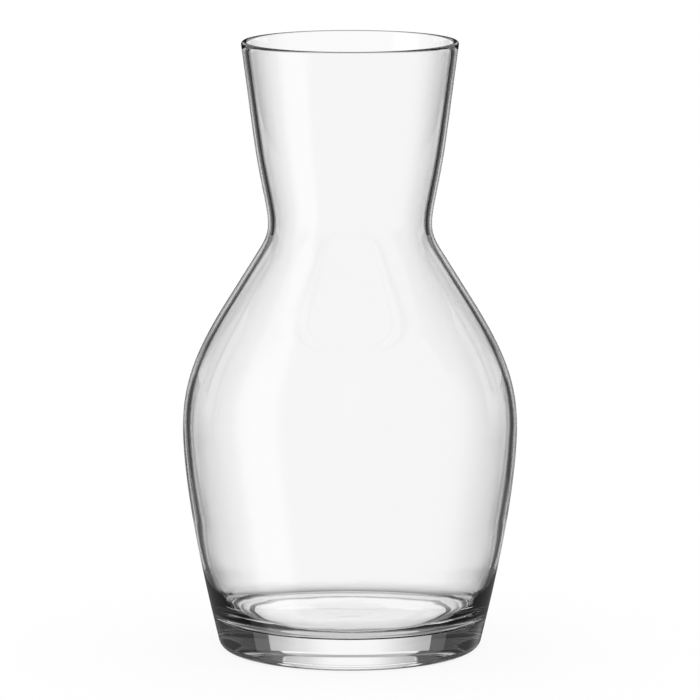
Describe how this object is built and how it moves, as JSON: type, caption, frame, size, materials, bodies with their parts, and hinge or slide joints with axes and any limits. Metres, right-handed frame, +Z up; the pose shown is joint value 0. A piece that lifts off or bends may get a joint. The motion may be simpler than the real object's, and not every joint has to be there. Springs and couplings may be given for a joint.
{
  "type": "wine carafe",
  "caption": "Clear glass wine carafe with a flared neck, drawn-in waist, rounded belly and heavy solid foot, for holding and pouring wine or water.",
  "frame": {"origin": "centre of the standing ring, on the table plane", "axes": "+Z up along the axis of revolution, from foot to rim; X and Y are free, because the body is round"},
  "size_m": [0.1116, 0.1116, 0.204],
  "materials": {
    "clear_glass": "clear soda-lime glass, smooth blown surface with a fire-polished rim"
  },
  "bodies": {
    "root": {"glass_body": "clear_glass"}
  },
  "joints": []
}
